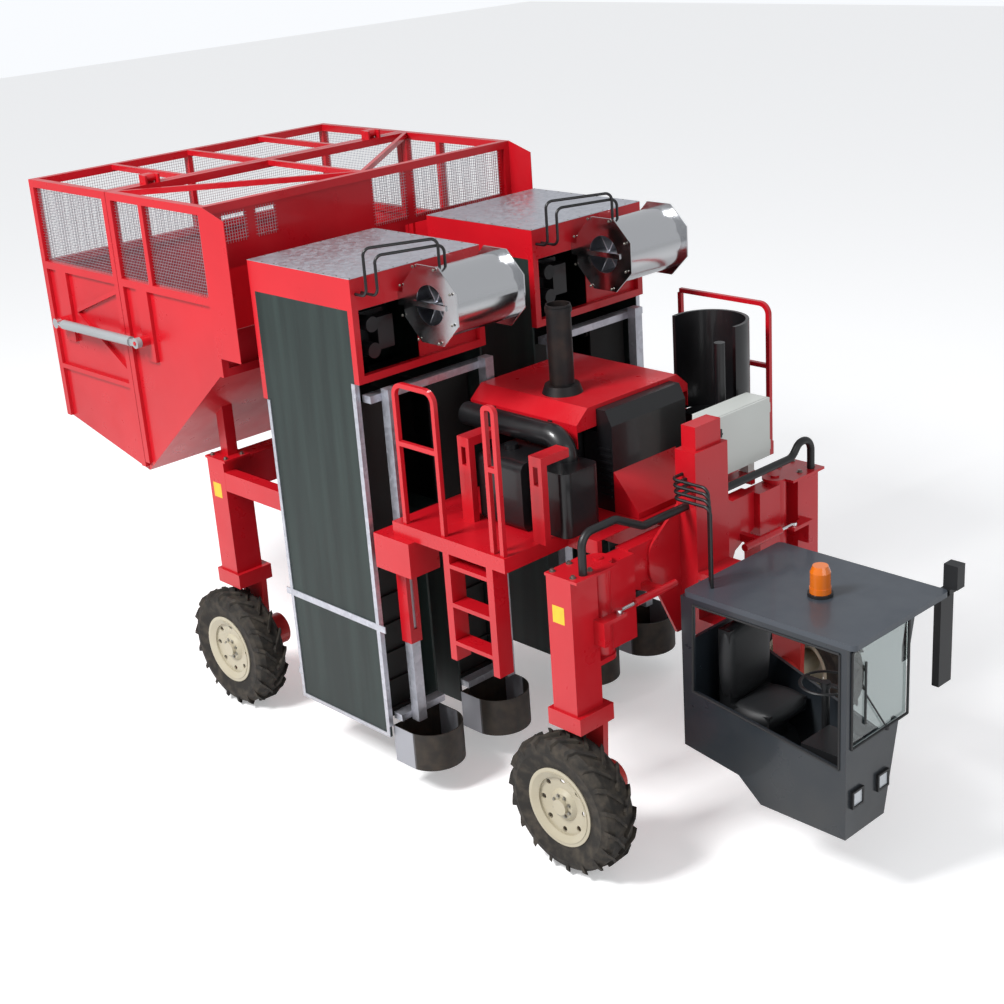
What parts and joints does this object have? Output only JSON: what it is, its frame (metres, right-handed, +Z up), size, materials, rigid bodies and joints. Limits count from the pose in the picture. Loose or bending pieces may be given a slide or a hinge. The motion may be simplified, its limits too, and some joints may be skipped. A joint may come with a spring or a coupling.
{
  "type": "two-row tobacco harvester",
  "caption": "Tall straddling tobacco harvester on lugged wheels with red legs, two picking units, a low front cab, a deck-top engine and a mesh-topped leaf bin.",
  "frame": {"origin": "on the ground under the middle of the whole machine", "axes": "+X the way it drives, +Y to its left, +Z up"},
  "size_m": [8.548, 3.8498, 4.969],
  "materials": {
    "amber_plastic": "gloss",
    "belt_rubber": "matte",
    "black_paint": "satin",
    "black_plastic": "matte",
    "cab_grey_paint": "satin",
    "cast_engine": "rough",
    "chrome_rod": "polished",
    "clear_glass": "clear",
    "dark_curtain": "matte",
    "galvanised_sheet": "satin",
    "green_paint": "gloss",
    "grey_paint": "gloss",
    "hose_rubber": "matte",
    "lamp_glass": "clear",
    "light_grey_paint": "satin",
    "red_paint": "gloss",
    "rim_cream": "satin",
    "stainless_sheet": "polished",
    "tyre_rubber": "matte"
  },
  "bodies": {
    "chassis": {"beacon": "amber_plastic", "bin_fixed": "red_paint", "bin_legs": "red_paint", "bin_mesh_fixed": "galvanised_sheet", "cab_roof": "cab_grey_paint", "cab_shell": "cab_grey_paint", "deck": "red_paint", "engine_block": "cast_engine", "engine_hood": "red_paint", "engine_surround": "black_paint", "exhaust_stack": "black_paint", "front_crossbeam": "red_paint", "guide_sleeves": "red_paint", "head_lamps": "lamp_glass", "hoses": "hose_rubber", "ladder_and_rails": "red_paint", "leg_rear_left": "red_paint", "leg_rear_right": "red_paint", "mast": "red_paint", "mirror_bracket": "cab_grey_paint", "operator_station": "black_plastic", "rear_frame": "red_paint", "service_cabinet": "light_grey_paint", "tanks": "black_paint", "windscreen": "clear_glass"},
    "tailgate": {"bin_mesh_tailgate": "galvanised_sheet", "bin_tailgate": "red_paint"},
    "cabinet_leaf": {"cabinet_door": "light_grey_paint"},
    "tailgate_barrel_left": {"cylinder_barrel_left": "grey_paint"},
    "tailgate_barrel_right": {"cylinder_barrel_right": "grey_paint"},
    "tailgate_rod_left": {"cylinder_rod_left": "chrome_rod"},
    "tailgate_rod_right": {"cylinder_rod_right": "chrome_rod"},
    "picking_unit_left": {"fan_housing_left": "stainless_sheet", "unit_belts_left": "belt_rubber", "unit_frame_left": "red_paint", "unit_hydraulics_left": "green_paint", "unit_metal_left": "galvanised_sheet", "unit_shoes_left": "galvanised_sheet", "unit_skins_left": "dark_curtain"},
    "picking_unit_right": {"fan_housing_right": "stainless_sheet", "unit_belts_right": "belt_rubber", "unit_frame_right": "red_paint", "unit_hydraulics_right": "green_paint", "unit_metal_right": "galvanised_sheet", "unit_shoes_right": "galvanised_sheet", "unit_skins_right": "dark_curtain"},
    "fan_spindle_left": {"fan_rotor_left": "stainless_sheet"},
    "fan_spindle_right": {"fan_rotor_right": "stainless_sheet"},
    "steered_leg_front_left": {"leg_front_left": "red_paint"},
    "steered_leg_front_right": {"leg_front_right": "red_paint"},
    "wheel_front_left": {"rim_front_left": "rim_cream", "tyre_front_left": "tyre_rubber"},
    "wheel_front_right": {"rim_front_right": "rim_cream", "tyre_front_right": "tyre_rubber"},
    "wheel_rear_left": {"rim_rear_left": "rim_cream", "tyre_rear_left": "tyre_rubber"},
    "wheel_rear_right": {"rim_rear_right": "rim_cream", "tyre_rear_right": "tyre_rubber"},
    "steering_rod_left_body": {"steering_rod_left": "chrome_rod"},
    "steering_rod_right_body": {"steering_rod_right": "chrome_rod"}
  },
  "joints": [
    {"name": "kingpin_left", "type": "hinge", "parent": "chassis", "child": "steered_leg_front_left", "pos_m": [2.262, 1.08, 2.05], "axis": [0, 0, 1], "range_deg": [-30, 30]},
    {"name": "steering_rod_slide_left", "type": "slide", "parent": "chassis", "child": "steering_rod_left_body", "axis": [0, 1, 0], "range_m": [-0.096, 0.096]},
    {"name": "wheel_front_left_spin", "type": "hinge", "parent": "steered_leg_front_left", "child": "wheel_front_left", "pos_m": [2.262, 1.5, 0.58], "axis": [0, 1, 0], "continuous": true},
    {"name": "wheel_rear_left_spin", "type": "hinge", "parent": "chassis", "child": "wheel_rear_left", "pos_m": [-2.122, 1.5, 0.58], "axis": [0, 1, 0], "continuous": true},
    {"name": "unit_lift_left", "type": "slide", "parent": "chassis", "child": "picking_unit_left", "axis": [0, 0, 1], "range_m": [-0.2, 0.35]},
    {"name": "fan_spin_left", "type": "hinge", "parent": "picking_unit_left", "child": "fan_spindle_left", "pos_m": [0.72, 1.133, 4.23], "axis": [0, 1, 0], "continuous": true},
    {"name": "tailgate_barrel_swing_left", "type": "hinge", "parent": "chassis", "child": "tailgate_barrel_left", "pos_m": [-2.54, 1.88, 3.59], "axis": [0, 1, 0], "range_deg": [0, 33]},
    {"name": "tailgate_rod_slide_left", "type": "slide", "parent": "tailgate_barrel_left", "child": "tailgate_rod_left", "axis": [-0.9999, 0, -0.0142], "range_m": [0, 1.03]},
    {"name": "kingpin_right", "type": "hinge", "parent": "chassis", "child": "steered_leg_front_right", "pos_m": [2.262, -1.08, 2.05], "axis": [0, 0, 1], "range_deg": [-30, 30]},
    {"name": "steering_rod_slide_right", "type": "slide", "parent": "chassis", "child": "steering_rod_right_body", "axis": [0, 1, 0], "range_m": [-0.096, 0.096]},
    {"name": "wheel_front_right_spin", "type": "hinge", "parent": "steered_leg_front_right", "child": "wheel_front_right", "pos_m": [2.262, -1.5, 0.58], "axis": [0, 1, 0], "continuous": true},
    {"name": "wheel_rear_right_spin", "type": "hinge", "parent": "chassis", "child": "wheel_rear_right", "pos_m": [-2.122, -1.5, 0.58], "axis": [0, 1, 0], "continuous": true},
    {"name": "unit_lift_right", "type": "slide", "parent": "chassis", "child": "picking_unit_right", "axis": [0, 0, 1], "range_m": [-0.2, 0.35]},
    {"name": "fan_spin_right", "type": "hinge", "parent": "picking_unit_right", "child": "fan_spindle_right", "pos_m": [0.72, -0.835, 4.23], "axis": [0, 1, 0], "continuous": true},
    {"name": "tailgate_barrel_swing_right", "type": "hinge", "parent": "chassis", "child": "tailgate_barrel_right", "pos_m": [-2.54, -1.88, 3.59], "axis": [0, 1, 0], "range_deg": [0, 33]},
    {"name": "tailgate_rod_slide_right", "type": "slide", "parent": "tailgate_barrel_right", "child": "tailgate_rod_right", "axis": [-0.9999, 0, -0.0142], "range_m": [0, 1.03]},
    {"name": "tailgate_hinge", "type": "hinge", "parent": "chassis", "child": "tailgate", "pos_m": [-2.913, 0, 4.935], "axis": [0, 1, 0], "range_deg": [0, 50]},
    {"name": "cabinet_door_hinge", "type": "hinge", "parent": "chassis", "child": "cabinet_leaf", "pos_m": [2.256, 1.021, 2.93], "axis": [0, 0, 1], "range_deg": [0, 110]}
  ],
  "couplings": [
    {"joint": "steering_rod_slide_left", "follows": "kingpin_right", "m_per_rad": 0.183},
    {"joint": "tailgate_barrel_swing_left", "follows": "tailgate_hinge", "ratio": 0.64},
    {"joint": "tailgate_rod_slide_left", "follows": "tailgate_hinge", "m_per_rad": 1.168},
    {"joint": "steering_rod_slide_right", "follows": "kingpin_right", "m_per_rad": 0.183},
    {"joint": "tailgate_barrel_swing_right", "follows": "tailgate_hinge", "ratio": 0.64},
    {"joint": "tailgate_rod_slide_right", "follows": "tailgate_hinge", "m_per_rad": 1.168},
    {"joint": "kingpin_left", "follows": "kingpin_right", "ratio": 1}
  ]
}
